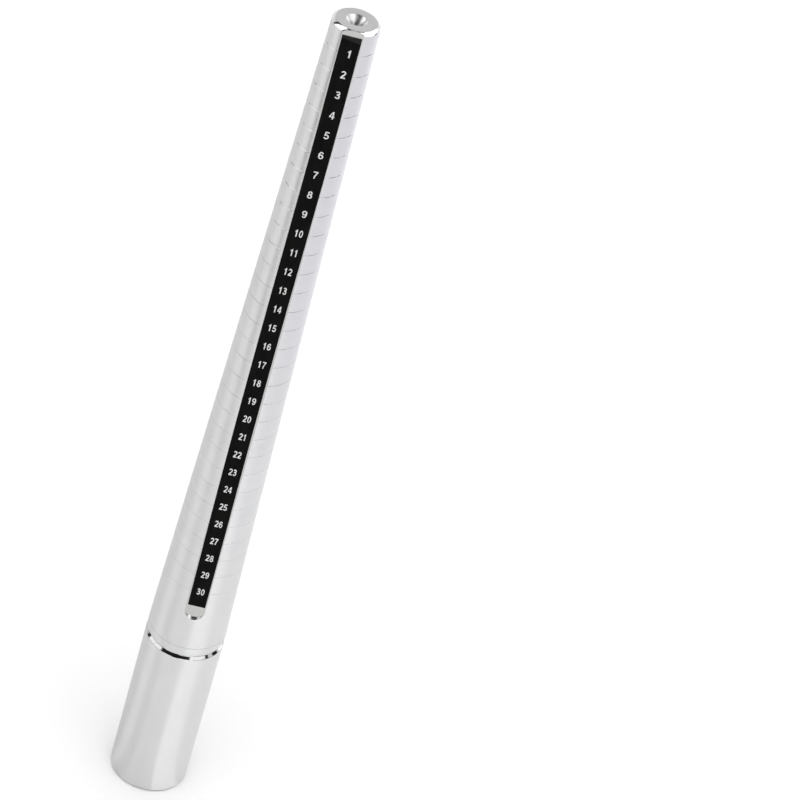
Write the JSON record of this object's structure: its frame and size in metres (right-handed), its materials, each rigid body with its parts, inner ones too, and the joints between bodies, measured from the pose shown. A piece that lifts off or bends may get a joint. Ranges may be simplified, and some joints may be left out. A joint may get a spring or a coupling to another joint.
{
  "type": "ring mandrel",
  "caption": "Solid tapered aluminium gauge bar with engraved ring-size lines, a printed size label in a milled slot and a plain round handle.",
  "frame": {"origin": "centre of the flat base of the handle, which the mandrel stands on", "axes": "+Z along the bar's axis from the base to the small end; -Y is the side that carries the label; +X is to the label's right when it is read with the small end up"},
  "size_m": [0.0244, 0.0244, 0.284],
  "materials": {
    "aluminium": "bright satin, fine-turned and polished, with polished bevels",
    "adhesive": "clear-grey pressure-sensitive acrylic film",
    "label": "semi-gloss black film",
    "ink": "satin white print"
  },
  "bodies": {
    "root": {"mandrel_body": "aluminium", "label_adhesive": "adhesive", "size_label": "label", "size_numerals": "ink"}
  },
  "joints": []
}
